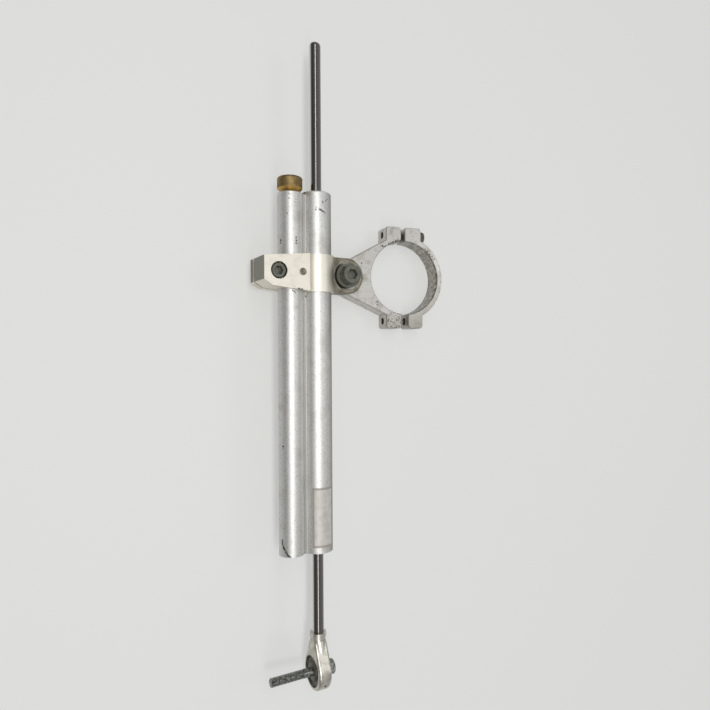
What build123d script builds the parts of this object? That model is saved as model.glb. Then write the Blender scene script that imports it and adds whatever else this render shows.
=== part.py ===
from build123d import *
import math
import os

# Motorcycle steering damper: a twin-bore oil cylinder with a rod right through it, a clamping
# collar with a ball bearing, a clamp for one fork leg and a ball end on the rod.
# Millimetres. The origin is the middle of the fork clamp's bore, and that bore runs along Z.
# The damper's rod runs along Y. The damper leans a little about Y on the collar's ball bearing.

# Fits, all on the radius
running = 0.05
close_fit = 0.03
face_gap = 0.15
overrun = 1.0

# Twin-bore cylinder, measured from the middle of the collar
tube_top = 55.2
tube_length = 243.0
main_tube_r = 10.5
side_tube_r = 8.5
tube_spacing = 19.0
web_half = 4.5
side_top_drop = 1.5
valley_r = 0.8
tube_edge = 0.8
main_bore_r = 8.0
end_bore_r = 9.0
side_bore_r = 5.0
port_r = 1.5
port_inset = 21.0

# Rod guides, their clips and their seals
guide_length = 16.0
guide_edge = 0.5
clip_t = 1.2
clip_inset = 1.3
clip_bite = 0.5
clip_width = 1.9
clip_gap = 5.0
clip_hole_r = 0.6
seat_r = 6.5
seal_t = 3.8
wiper_t = 2.8
wiper_cone = 0.9
ring_cord_r = 0.8
ring_squeeze = 0.2

# Piston rod and piston
rod_r = 4.0
rod_above = 103.6
rod_below = 56.1
rod_tip_round = 2.6
rod_foot_edge = 0.6
piston_length = 14.0
piston_place = -57.5
band_t = 1.0
band_width = 4.0
rod_clip_t = 1.0
rod_clip_bite = 0.5
rod_clip_r = 6.2
rod_clip_gap = 5.4

# Adjuster at the top of the side bore
knob_r = 8.5
knob_height = 9.8
knob_lift = 0.6
knob_round = 1.6
knob_chamfer = 2.0
stem_r = 3.0
stem_reach = 8.0
gland_r = 6.5
gland_length = 12.0
barrel_length = 24.0
barrel_bore_r = 3.0
barrel_floor = 5.0
meter_slot = 2.0
detent_radius = 4.7
detent_ball_r = 1.0
detent_depth = 6.0
detent_count = 12
dimple_depth = 0.4

# Plug at the foot of the side bore
plug_length = 8.0
plug_socket = 5.0
plug_socket_depth = 4.0
plug_groove = 5.8

# Bare foil plate on the front of the main bore's wall
plate_length = 40.0
plate_spread = 85.0
plate_t = 0.12
plate_rise = 4.0

# Clamping collar
collar_height = 25.0
collar_wall = 1.8
block_front = 12.0
block_back = 16.0
block_left = 42.0
block_right = 9.8
block_taper = 6.0
corner_low = 6.0
corner_length = 5.9
slot_width = 2.4
slot_place = 7.6
lug_half = 4.0
lug_web = 1.95
back_round = 2.8

# Socket head screws of three sizes
m5_r = 2.5
m5_head_r = 4.25
m5_head = 5.0
m5_socket = 4.0
m5_socket_depth = 2.6
m6_r = 3.0
m6_head_r = 5.0
m6_head = 6.0
m6_socket = 5.0
m6_socket_depth = 3.2
m8_r = 4.0
m8_head_r = 6.5
m8_head = 8.0
m8_socket = 6.0
m8_socket_depth = 4.2
screw_edge = 0.5
head_edge = 0.5
pinch_reach = 31.6
pinch_sink = 0.5
counterbore_gap = 0.7
tapped_hole_reach = 14.9
tapped_hole_r = 2.5
pivot_screw_length = 25.0
clamp_screw_length = 25.0
end_screw_length = 40.0
end_screw_plain = 16.0
thread_step = 0.3

# Ball bearing in the collar's lug
pivot_ball_r = 8.0
pivot_ball_half = 6.5
pivot_race_r = 9.75
washer_r = 8.5
washer_t = 1.6
washer_bore_gap = 0.4
rest_roll = 8.0

# Fork clamp
clamp_bore_r = 27.0
clamp_depth = 15.0
clamp_wall = 4.2
clamp_reach = 50.0
pivot_drop = 2.1
clamp_edge = 0.5
ear_top = 37.5
ear_length = 13.5
foot_ear_length = 14.7
bracket_ear_left = 15.0
arm_root = 28.0
arm_root_r = 1.5
arm_nose_r = 9.0
ear_corner = 2.2
cap_ear_corner = 2.0
cap_foot_corner = 2.8
split_bracket = 2.7
split_cap_top = 0.2
split_cap_foot = 2.6
clamp_screw_y = 32.0
clamp_screw_gap = 0.25
spot_gap = 0.4

# Ball end on the rod
eye_drop = 26.4
eye_r = 12.5
eye_half = 4.8
eye_round = 1.8
crown_r = 5.6
crown_rise = 17.0
neck_r = 5.6
neck_rim = 2.7
neck_groove = 0.5
neck_socket = 13.0
flare_start = 22.5
flare_end = 6.5
flare_half = 9.8
end_race_r = 10.2
end_race_half = 3.5
end_ball_r = 7.5
end_ball_half = 5.2
grease_hole_r = 0.8
grease_hole_turn = 60.0

# Places worked out from the sizes above
pivot_reach = main_tube_r + lug_web + pivot_race_r
tube_foot = tube_top - tube_length
rod_tip = tube_top + rod_above
neck_top = tube_foot - rod_below
rod_foot = neck_top - neck_socket
eye_y = neck_top - eye_drop
stack_start = clip_inset + clip_t
end_bore_depth = stack_start + guide_length
gland_top = tube_top - side_top_drop
groove_depth = 2 * ring_cord_r - ring_squeeze
plug_ring_y = tube_foot + plug_groove
barrel_top = gland_top - gland_length - face_gap
knob_foot = gland_top + knob_lift
pivot_z = clamp_depth / 2 + pivot_ball_half
roll = math.radians(rest_roll)
damper_x = -clamp_reach - pivot_reach * math.cos(roll)
damper_z = pivot_z + pivot_reach * math.sin(roll)


def bar(radius, top, length, x=0, z=0):
    return Pos(x, top - length / 2, z) * Rot(90, 0, 0) * Cylinder(radius, length)


def sleeve(outer, inner, top, length, x=0, z=0):
    return bar(outer, top, length, x, z) - bar(inner, top + overrun, length + 2 * overrun, x, z)


def post(radius, top, length, x=0, y=0):
    return Pos(x, y, top - length / 2) * Cylinder(radius, length)


def cross_bar(radius, start, end, y, z=0):
    return Pos((start + end) / 2, y, z) * Rot(0, 90, 0) * Cylinder(radius, end - start)


def drawn_down(outline, top, length):
    return extrude(Pos(0, top, 0) * (Plane.XZ * outline), length)


def end_rings(shape, axis, place):
    rings = shape.edges().filter_by(GeomType.CIRCLE)
    return rings.filter_by_position(axis, place - face_gap, place + face_gap)


# A cord ring fills its groove from the floor to the wall that it seals on.
def cord_ring(floor, wall, middle, x=0):
    ring = Torus((floor + wall) / 2, (wall - floor) / 2 - close_fit)
    return Pos(x, middle, 0) * Rot(90, 0, 0) * ring


def outer_groove(wall, middle, x=0):
    top = middle + ring_cord_r
    return sleeve(wall + overrun, wall - groove_depth, top, 2 * ring_cord_r, x)


def hex_hole(across, depth):
    return extrude(RegularPolygon(across / 2, 6, major_radius=False), -depth)


# A cap screw stands on its head's underside at the origin, head up, shank down along Z.
def cap_screw(shank_r, head_r, head, socket, socket_depth, length):
    top = post(head_r, head, head)
    top = chamfer(end_rings(top, Axis.Z, head), head_edge)
    shank = post(shank_r, 0, length)
    shank = chamfer(end_rings(shank, Axis.Z, -length), screw_edge)
    return top + shank - Pos(0, 0, head) * hex_hole(socket, socket_depth)


# Cylinder and what is fixed in it

def twin_outline(grow=0):
    outline = Circle(main_tube_r + grow) + Pos(-tube_spacing, 0) * Circle(side_tube_r + grow)
    outline += Pos(-tube_spacing / 2, 0) * Rectangle(tube_spacing, 2 * (web_half + grow))
    valleys = outline.vertices().filter_by(lambda v: abs(v.Y) > side_tube_r / 5)
    return fillet(valleys, valley_r)


def clip_groove(end):
    inward = tube_top if end > 0 else tube_foot + 2 * clip_inset + clip_t
    return bar(end_bore_r + clip_bite, inward - clip_inset, clip_t)


# The side tube ends a little lower than the main one at the top.
def cylinder_body():
    body = drawn_down(twin_outline(), gland_top, gland_top - tube_foot)
    for end in (body.faces().sort_by(Axis.Y)[0], body.faces().sort_by(Axis.Y)[-1]):
        body = chamfer(end.outer_wire().edges(), tube_edge)
    rise = bar(main_tube_r, tube_top, side_top_drop + 2 * tube_edge)
    body += chamfer(end_rings(rise, Axis.Y, tube_top), tube_edge)
    body -= bar(main_bore_r, tube_top + overrun, tube_length + 2 * overrun)
    body -= bar(end_bore_r, tube_top + overrun, end_bore_depth + overrun)
    body -= bar(end_bore_r, tube_foot + end_bore_depth, end_bore_depth + overrun)
    body -= clip_groove(1)
    body -= clip_groove(-1)
    body -= bar(side_bore_r, tube_top + overrun, tube_length + 2 * overrun, -tube_spacing)
    body -= bar(gland_r, gland_top + overrun, gland_length + overrun, -tube_spacing)
    body -= bar(gland_r, tube_foot + plug_length, plug_length + overrun, -tube_spacing)
    for port_y in (tube_top - port_inset, tube_foot + port_inset):
        body -= cross_bar(port_r, -tube_spacing, 0, port_y)
    return body


# The end pieces are drawn for the upper end, with the cylinder's end face at Y zero.
def at_top(shape):
    return Pos(0, tube_top, 0) * shape


def at_foot(shape):
    return Pos(0, tube_foot, 0) * Rot(180, 0, 0) * shape


def rod_guide():
    guide = sleeve(end_bore_r - close_fit, rod_r + running, -stack_start, guide_length)
    guide = chamfer(end_rings(guide, Axis.Y, -stack_start - guide_length), guide_edge)
    guide -= bar(seat_r, -stack_start + overrun, seal_t + wiper_t + overrun)
    return guide - outer_groove(end_bore_r, -stack_start - guide_length / 2)


def guide_ring():
    return cord_ring(end_bore_r - groove_depth, end_bore_r, -stack_start - guide_length / 2)


def guide_clip():
    outer = end_bore_r + clip_bite - close_fit
    ring = sleeve(outer, outer - clip_width, -clip_inset, clip_t)
    ring -= Pos(0, -clip_inset - clip_t / 2, -outer) * Box(clip_gap, clip_t + overrun, outer)
    ear_x = clip_gap / 2 + clip_width / 2
    for side in (-1, 1):
        ear_z = -math.sqrt((outer - clip_width / 2) ** 2 - ear_x ** 2)
        ear = bar(clip_width / 2, -clip_inset, clip_t, side * ear_x, ear_z)
        ring += ear
        ring -= bar(clip_hole_r, overrun, stack_start + overrun, side * ear_x, ear_z)
    return ring


def rod_seal():
    return sleeve(seat_r - close_fit, rod_r + running, -stack_start - wiper_t, seal_t)


def rod_wiper():
    wiper = sleeve(seat_r - close_fit, rod_r + running, -stack_start, wiper_t)
    rim = end_rings(wiper, Axis.Y, -stack_start).sort_by(SortBy.RADIUS)[-1]
    return chamfer(rim, wiper_cone)


# Rod and piston

def piston_rod():
    rod = bar(rod_r, rod_tip, rod_tip - rod_foot)
    rod = fillet(end_rings(rod, Axis.Y, rod_tip), rod_tip_round)
    rod = chamfer(end_rings(rod, Axis.Y, rod_foot), rod_foot_edge)
    for clip_top in rod_clip_tops():
        groove_r = rod_r - rod_clip_bite
        rod -= sleeve(rod_r + overrun, groove_r, clip_top, rod_clip_t)
    return rod


def rod_clip_tops():
    upper = piston_place + piston_length / 2 + face_gap + rod_clip_t
    lower = piston_place - piston_length / 2 - face_gap
    return upper, lower


def rod_clips():
    clips = []
    for clip_top in rod_clip_tops():
        ring = sleeve(rod_clip_r, rod_r - rod_clip_bite + close_fit, clip_top, rod_clip_t)
        middle = clip_top - rod_clip_t / 2
        ring -= Pos(0, middle, -rod_clip_r) * Box(rod_clip_gap, rod_clip_t + overrun, rod_clip_r)
        clips.append(ring)
    return Compound(children=clips)


def piston():
    top = piston_place + piston_length / 2
    disc = sleeve(main_bore_r - running, rod_r + running, top, piston_length)
    groove_top = piston_place + band_width / 2
    floor = main_bore_r - running - band_t
    disc = chamfer(end_rings(disc, Axis.Y, top).sort_by(SortBy.RADIUS)[-1], guide_edge)
    foot_ring = end_rings(disc, Axis.Y, top - piston_length).sort_by(SortBy.RADIUS)[-1]
    disc = chamfer(foot_ring, guide_edge)
    return disc - sleeve(main_bore_r + overrun, floor, groove_top, band_width)


def piston_band():
    outer = main_bore_r - running
    inner = outer - band_t + close_fit
    height = band_width - 2 * close_fit
    return sleeve(outer, inner, piston_place + height / 2, height)


# Adjuster

def detent_spot(radius, top, length):
    return bar(radius, top, length, -tube_spacing + detent_radius)


def adjuster_gland():
    gland = sleeve(gland_r - close_fit, stem_r + running, gland_top, gland_length, -tube_spacing)
    return gland - detent_spot(detent_ball_r + running, gland_top + overrun, detent_depth + overrun)


def metering_spool():
    stem_top = knob_foot + stem_reach
    stem = bar(stem_r, stem_top, stem_top - barrel_top, -tube_spacing)
    barrel = bar(side_bore_r - running, barrel_top, barrel_length, -tube_spacing)
    bore_top = barrel_top - barrel_floor
    barrel -= bar(barrel_bore_r, bore_top, barrel_length, -tube_spacing)
    slot_x = -tube_spacing + side_bore_r
    slot_y = tube_top - port_inset
    slot = Pos(slot_x, slot_y, 0) * Box(2 * side_bore_r, 2 * port_r, meter_slot)
    spool = stem + (barrel - slot)
    return spool - outer_groove(stem_r, gland_top - gland_length / 2, -tube_spacing)


def stem_ring():
    middle = gland_top - gland_length / 2
    return cord_ring(stem_r - groove_depth, stem_r, middle, -tube_spacing)


def adjuster_knob():
    knob_top = knob_foot + knob_height
    knob = bar(knob_r, knob_top, knob_height, -tube_spacing)
    knob = fillet(end_rings(knob, Axis.Y, knob_top), knob_round)
    knob = chamfer(end_rings(knob, Axis.Y, knob_foot), knob_chamfer)
    knob -= bar(stem_r + close_fit, knob_foot + stem_reach, stem_reach + overrun, -tube_spacing)
    dimple_r = (detent_ball_r ** 2 + dimple_depth ** 2) / (2 * dimple_depth)
    for step in range(detent_count):
        turn = Rot(0, step * 360 / detent_count, 0)
        dimple = Pos(detent_radius, dimple_depth - dimple_r, 0) * Sphere(dimple_r)
        knob -= Pos(-tube_spacing, knob_foot, 0) * turn * dimple
    return knob


def detent_ball():
    centre_y = knob_foot - running - detent_ball_r
    return Pos(-tube_spacing + detent_radius, centre_y, 0) * Sphere(detent_ball_r)


# The hidden click spring is a plain sleeve of the spring's outer shape.
def detent_spring():
    top = knob_foot - running - 2 * detent_ball_r - close_fit
    floor = gland_top - detent_depth
    place_x = -tube_spacing + detent_radius
    return sleeve(detent_ball_r - running, detent_ball_r / 2, top, top - floor, place_x)


def side_plug():
    plug = bar(gland_r - close_fit, tube_foot + plug_length, plug_length, -tube_spacing)
    socket = extrude(Plane.XZ * RegularPolygon(plug_socket / 2, 6, major_radius=False),
                     -plug_socket_depth)
    plug -= Pos(-tube_spacing, tube_foot, 0) * socket
    return plug - outer_groove(gland_r, plug_ring_y, -tube_spacing)


def plug_ring():
    return cord_ring(gland_r - groove_depth, gland_r, plug_ring_y, -tube_spacing)


def foil_plate():
    top = tube_foot + plate_rise + plate_length
    ring = sleeve(main_tube_r + plate_t, main_tube_r, top, plate_length)
    reach = 2 * main_tube_r
    half = math.radians(plate_spread / 2)
    side = reach * math.sin(half)
    front = reach * math.cos(half)
    points = [(0, 0), (side, front), (-side, front)]
    wedge = drawn_down(Polygon(*points, align=None), top, plate_length)
    return ring & wedge


# Collar and its screws

def collar_outline():
    width = block_left - block_right
    depth = block_front + block_back
    middle_x = -(block_left + block_right) / 2
    middle_z = (block_front - block_back) / 2
    block = Pos(middle_x, middle_z) * Rectangle(width, depth)
    back_corner = block.vertices().sort_by(Axis.X)[:2].sort_by(Axis.Y)[0]
    block = fillet(back_corner, back_round)
    fill = Pos(-block_right / 2, 0) * Rectangle(block_right, 2 * main_tube_r / 3)
    back = Pos(-block_right / 2, -main_tube_r) * Rectangle(block_right, 2 * collar_wall)
    return block + fill + back + Circle(main_tube_r + collar_wall)


# The block gets lower towards its free end, and its lower corner there is cut off.
def collar_side_cut():
    start = collar_height / 2
    run = block_left - block_right + overrun
    fall = run * math.tan(math.radians(block_taper))
    low = -start + (block_left - block_right - corner_length) * math.tan(math.radians(block_taper))
    above = Polygon((-block_right, start), (-block_right - run, start),
                    (-block_right - run, start - fall), align=None)
    below = Polygon((-block_right, -start), (-block_right - run, fall - start),
                    (-block_right - run, -start), align=None)
    corner_x = corner_length - block_left
    corner = Polygon((-block_left, -corner_low), (-block_left - overrun, -corner_low),
                     (-block_left - overrun, -start), (corner_x, -start), (corner_x, low),
                     align=None)
    return extrude(above + below + corner, block_front + block_back, both=True)


def body_collar():
    collar = drawn_down(collar_outline(), collar_height / 2, collar_height)
    collar -= collar_side_cut()
    lug = post(collar_height / 2, lug_half, 2 * lug_half, pivot_reach)
    bridge = Pos(pivot_reach / 2, 0, 0) * Box(pivot_reach, collar_height, 2 * lug_half)
    collar += lug + bridge
    collar -= drawn_down(twin_outline(close_fit), collar_height, 2 * collar_height)
    slot_run = block_left - tube_spacing + overrun
    slot_x = -tube_spacing - slot_run / 2
    collar -= Pos(slot_x, 0, -slot_place) * Box(slot_run, 2 * collar_height, slot_width)
    collar -= post(pivot_race_r + close_fit, lug_half + overrun, 2 * (lug_half + overrun),
                   pivot_reach)
    bore_depth = m6_head + pinch_sink
    collar -= post(m6_head_r + counterbore_gap, block_front + overrun, bore_depth + overrun,
                   -pinch_reach)
    collar -= post(m6_r + close_fit, block_front, 2 * block_back + block_front, -pinch_reach)
    collar -= post(tapped_hole_r, block_front + overrun, block_front + overrun,
                   -tapped_hole_reach)
    return collar


def pinch_screw():
    seat = block_front - pinch_sink - m6_head
    screw = cap_screw(m6_r, m6_head_r, m6_head, m6_socket, m6_socket_depth, seat + block_back)
    return Pos(-pinch_reach, 0, seat) * screw


def ball_race(outer, half, ball_r):
    ring = post(outer - close_fit, half, 2 * half)
    return ring - Sphere(ball_r + running)


def pierced_ball(ball_r, half, bore_r):
    slab = post(ball_r + overrun, half, 2 * half)
    return (Sphere(ball_r) & slab) - post(bore_r, half + overrun, 2 * (half + overrun))


def pivot_race():
    return Pos(pivot_reach, 0, 0) * ball_race(pivot_race_r, lug_half, pivot_ball_r)


# Ball end: drawn along Z, then turned so that the eye's axis lies along X.
def end_upright(shape):
    return Pos(0, eye_y, 0) * Rot(0, -90, 0) * shape


def rod_end_eye():
    drop = make_hull(Circle(eye_r).edges() + (Pos(0, crown_rise) * Circle(crown_r)).edges())
    eye = extrude(Pos(0, 0, -eye_half) * drop, 2 * eye_half)
    eye = fillet(eye.faces().filter_by(Axis.Z).edges(), eye_round)
    neck = bar(neck_r, eye_drop, eye_drop - flare_start + overrun)
    round_end = Plane.XZ.offset(-flare_start) * Circle(neck_r - neck_groove)
    flat_end = Plane.XZ.offset(-flare_end) * Ellipse(flare_half, eye_half)
    flare = loft([round_end, flat_end])
    shape = eye + flare + neck
    groove_top = eye_drop - neck_rim
    groove = sleeve(neck_r + overrun, neck_r - neck_groove, groove_top,
                    eye_drop - neck_rim - flare_start + overrun)
    shape -= groove
    shape -= post(end_race_r + close_fit, eye_half + overrun, 2 * (eye_half + overrun))
    shape -= bar(rod_r + close_fit, eye_drop + overrun, neck_socket + overrun)
    grease = Rot(0, 0, grease_hole_turn - 180) * bar(grease_hole_r, eye_r + overrun, eye_r / 2)
    return end_upright(shape - (grease & post(eye_r + overrun, eye_half, 2 * eye_half)))


def rod_end_race():
    return end_upright(ball_race(end_race_r, end_race_half, end_ball_r))


def rod_end_ball():
    return end_upright(pierced_ball(end_ball_r, end_ball_half, m6_r + running))


# The ball end's screw is drawn at its thread's mean size along the threaded end.
def rod_end_screw():
    screw = cap_screw(m6_r, m6_head_r, m6_head, m6_socket, m6_socket_depth, end_screw_length)
    thread = post(m6_r - thread_step, -end_screw_plain, end_screw_length)
    screw -= post(m6_r + overrun, -end_screw_plain, end_screw_length) - thread
    return end_upright(Rot(180, 0, 0) * Pos(0, 0, end_ball_half) * screw)


# Fork clamp, drawn in the part's own frame. Its pivot lies a little below the bore's middle.

def ear(left, right, top, corner, side):
    height = top - clamp_bore_r / 2
    block = Pos((left + right) / 2, side * (top - height / 2)) * Rectangle(right - left, height)
    outer = block.vertices().group_by(Axis.Y)[-1 if side > 0 else 0]
    return fillet(outer, corner)


def clamp_solid(outline):
    solid = extrude(Pos(0, 0, -clamp_depth / 2) * outline, clamp_depth)
    rims = solid.faces().filter_by(Axis.Z)
    return chamfer(rims.edges(), clamp_edge)


def clamp_hole(radius, left, right, side):
    return cross_bar(radius, left, right, side * clamp_screw_y)


def fork_clamp_bracket():
    nose = Pos(-clamp_reach, -pivot_drop) * Circle(arm_nose_r)
    root_x = arm_root_r - bracket_ear_left
    root_y = arm_root - arm_root_r
    roots = [Pos(root_x, side * root_y) * Circle(arm_root_r) for side in (-1, 1)]
    hull = make_hull(nose.edges() + roots[0].edges() + roots[1].edges())
    outline = hull + Circle(clamp_bore_r + clamp_wall)
    for side in (-1, 1):
        outline += ear(-bracket_ear_left, -split_bracket, ear_top, ear_corner, side)
    outline -= Circle(clamp_bore_r)
    reach = clamp_bore_r + ear_top
    outline -= Pos(reach / 2 - split_bracket, 0) * Rectangle(reach, 2 * reach)
    bracket = clamp_solid(outline)
    for side in (-1, 1):
        bracket -= clamp_hole(m5_r + close_fit, -bracket_ear_left - overrun, 0, side)
    depth = pivot_screw_length - washer_t - 2 * pivot_ball_half + overrun
    top = clamp_depth / 2 + overrun
    return bracket - post(m8_r + close_fit, top, depth + overrun, -clamp_reach, -pivot_drop)


def fork_clamp_cap():
    outline = Circle(clamp_bore_r + clamp_wall)
    outline += ear(split_cap_top, ear_length, ear_top, cap_ear_corner, 1)
    outline += ear(split_cap_foot, foot_ear_length, ear_top, cap_foot_corner, -1)
    outline -= Circle(clamp_bore_r)
    reach = clamp_bore_r + ear_top
    outline -= Pos(split_cap_top - reach / 2, reach / 2) * Rectangle(reach, reach)
    outline -= Pos(split_cap_foot - reach / 2, -reach / 2) * Rectangle(reach, reach)
    cap = clamp_solid(outline)
    for side, ear_end in ((1, ear_length), (-1, foot_ear_length)):
        cap -= clamp_hole(m5_r + clamp_screw_gap, 0, ear_end + overrun, side)
        cap -= clamp_hole(m5_head_r + spot_gap, ear_end, ear_end + 2 * m5_head, side)
    return cap


def clamp_screw():
    screw = cap_screw(m5_r, m5_head_r, m5_head, m5_socket, m5_socket_depth, clamp_screw_length)
    return Pos(ear_length, clamp_screw_y, 0) * Rot(0, 90, 0) * screw


def pivot_ball():
    ball = pierced_ball(pivot_ball_r, pivot_ball_half, m8_r + running)
    return Pos(-clamp_reach, -pivot_drop, pivot_z) * ball


def pivot_washer():
    ring = post(washer_r, washer_t, washer_t) - post(m8_r + washer_bore_gap, 2 * washer_t, 3 * washer_t)
    return Pos(-clamp_reach, -pivot_drop, pivot_z + pivot_ball_half) * ring


def pivot_screw():
    screw = cap_screw(m8_r, m8_head_r, m8_head, m8_socket, m8_socket_depth, pivot_screw_length)
    return Pos(-clamp_reach, -pivot_drop, pivot_z + pivot_ball_half + washer_t) * screw


# Pieces drawn round the rod's axis are moved to where the damper lies beside the clamp.
damper_place = Pos(damper_x, -pivot_drop, damper_z) * Rot(0, rest_roll, 0)

damper_pieces = {
    "cylinder_body": cylinder_body(),
    "upper_rod_guide": at_top(rod_guide()),
    "lower_rod_guide": at_foot(rod_guide()),
    "guide_o_rings": Compound(children=[at_top(guide_ring()), at_foot(guide_ring())]),
    "guide_circlips": Compound(children=[at_top(guide_clip()), at_foot(guide_clip())]),
    "upper_rod_seal": at_top(rod_seal()),
    "lower_rod_seal": at_foot(rod_seal()),
    "upper_rod_wiper": at_top(rod_wiper()),
    "lower_rod_wiper": at_foot(rod_wiper()),
    "piston_rod": piston_rod(),
    "piston": piston(),
    "piston_band": piston_band(),
    "rod_circlips": rod_clips(),
    "adjuster_gland": adjuster_gland(),
    "metering_spool": metering_spool(),
    "spool_o_ring": stem_ring(),
    "adjuster_knob": adjuster_knob(),
    "detent_ball": detent_ball(),
    "detent_spring": detent_spring(),
    "side_bore_plug": side_plug(),
    "plug_o_ring": plug_ring(),
    "foil_plate": foil_plate(),
    "body_collar": body_collar(),
    "pinch_screw": pinch_screw(),
    "pivot_race": pivot_race(),
    "rod_end_eye": rod_end_eye(),
    "rod_end_race": rod_end_race(),
    "rod_end_ball": rod_end_ball(),
    "rod_end_screw": rod_end_screw(),
}

clamp_pieces = {
    "fork_clamp_bracket": fork_clamp_bracket(),
    "fork_clamp_cap": fork_clamp_cap(),
    "clamp_screw": clamp_screw(),
    "pivot_ball": pivot_ball(),
    "pivot_washer": pivot_washer(),
    "pivot_screw": pivot_screw(),
}

os.makedirs("parts", exist_ok=True)
for name, shape in damper_pieces.items():
    export_step(damper_place * shape, f"parts/{name}.step")
for name, shape in clamp_pieces.items():
    export_step(shape, f"parts/{name}.step")
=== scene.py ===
import math
import bpy
import bmesh
from mathutils import Matrix, Vector


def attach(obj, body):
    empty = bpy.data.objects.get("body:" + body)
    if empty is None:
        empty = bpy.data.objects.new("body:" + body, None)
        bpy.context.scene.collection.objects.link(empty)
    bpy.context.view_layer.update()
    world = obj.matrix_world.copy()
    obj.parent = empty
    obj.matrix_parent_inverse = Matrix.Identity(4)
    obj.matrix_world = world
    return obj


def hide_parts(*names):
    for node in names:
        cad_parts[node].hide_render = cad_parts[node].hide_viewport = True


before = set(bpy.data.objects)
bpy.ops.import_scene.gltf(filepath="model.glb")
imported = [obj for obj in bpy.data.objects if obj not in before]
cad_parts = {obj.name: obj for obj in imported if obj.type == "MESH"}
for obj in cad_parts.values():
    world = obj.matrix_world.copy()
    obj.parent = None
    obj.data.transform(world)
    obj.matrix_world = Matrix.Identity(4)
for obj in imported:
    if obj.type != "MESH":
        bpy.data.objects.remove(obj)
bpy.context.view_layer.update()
print("steering damper: frame loaded")

# The damper lies rolled about the rod's axis, so its pieces are drawn in their own frame, in mm:
# X from the rod towards the fork clamp, Y up along the rod, Z to the front.
damper = {
    "rodAxis": (-71.984, -2.1, 17.0897),
    "rollDegrees": 8.0,
    "sideTubeX": -19.0,     # the smaller tube, with the knob
    "eyeY": -270.3,         # middle of the ball end
    "eyeSeatX": 5.2,        # where the ball end's screw rests its head
    "pinchX": -31.6,        # the collar's pinch screw
    "pinchSeatZ": 5.5,
}
clamp = {
    "pivotX": -50.0,
    "pivotY": -2.1,
    "washerTop": 22.1,
    "screwY": 32.0,
    "earRight": 13.5,
}
damperTurn = Matrix.Rotation(math.radians(damper["rollDegrees"]), 4, "Y")
damperSpace = Matrix.Translation(Vector(damper["rodAxis"]) / 1000) @ damperTurn @ Matrix.Scale(0.001, 4)
clampSpace = Matrix.Scale(0.001, 4)


def colour(hexText):
    parts = [int(hexText[i:i + 2], 16) / 255 for i in (1, 3, 5)]
    return tuple(c / 12.92 if c <= 0.04045 else ((c + 0.055) / 1.055) ** 2.4 for c in parts) + (1.0,)


# Adds a node. A value is a plain one, a socket, or a node, which gives its first output.
def add(tree, kind, values=None, **settings):
    node = tree.nodes.new(kind)
    for name, value in settings.items():
        setattr(node, name, value)
    for socket, value in (values or {}).items():
        if isinstance(value, bpy.types.Node):
            value = value.outputs[0]
        if isinstance(value, bpy.types.NodeSocket):
            tree.links.new(value, node.inputs[socket])
        else:
            node.inputs[socket].default_value = value
    return node


def newFinish(name):
    material = bpy.data.materials.new(name)
    material.use_nodes = True
    material.node_tree.nodes.clear()
    return material, material.node_tree


# Millimetres on the piece: the damper's own frame, or the fork clamp's.
def millimetres(tree, onDamper):
    place = add(tree, "ShaderNodeTexCoord").outputs["Object"]
    values = {"Vector": place, "Scale": (1000, 1000, 1000)}
    if onDamper:
        turnBack = damperTurn.inverted()
        values["Location"] = -(turnBack @ Vector(damper["rodAxis"]))
        values["Rotation"] = turnBack.to_euler()
    return add(tree, "ShaderNodeMapping", values)


# A ragged mark at each place, in mm: 1 in the mark, 0 away from it. Noise moves its edge about.
def marks(tree, place, spots, raggedMm):
    noise = add(tree, "ShaderNodeTexNoise", {"Vector": place, "Scale": 0.9 / raggedMm, "Detail": 3.0})
    shift = add(tree, "ShaderNodeVectorMath", {0: noise.outputs[1], 1: (0.5, 0.5, 0.5)}, operation="SUBTRACT")
    shift = add(tree, "ShaderNodeVectorMath", {0: shift, "Scale": 4.0 * raggedMm}, operation="SCALE")
    bent = add(tree, "ShaderNodeVectorMath", {0: place, 1: shift}, operation="ADD")
    total = 0.0
    for x, y, z, radius in spots:
        away = add(tree, "ShaderNodeVectorMath", {0: bent, 1: (x, y, z)}, operation="DISTANCE")
        dot = add(tree, "ShaderNodeMapRange",
                  {"Value": away.outputs["Value"], "From Min": radius * 1.2, "From Max": radius * 0.8})
        total = add(tree, "ShaderNodeMath", {0: total, 1: dot}, operation="MAXIMUM")
    return total


# Paints marks over a tone, one over the other. Each is a pattern and a row from the finish's
# dictionary: the mark's colour, where the pattern starts it, where it is full, and its strength.
def paint(tree, skin, layers):
    for pattern, (tone, start, full, strength) in layers:
        mask = add(tree, "ShaderNodeMapRange",
                   {"Value": pattern, "From Min": start, "From Max": full, "To Max": strength})
        skin = add(tree, "ShaderNodeMix", {0: mask, 6: skin, 7: colour(tone)}, data_type="RGBA").outputs[2]
    return skin


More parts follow.
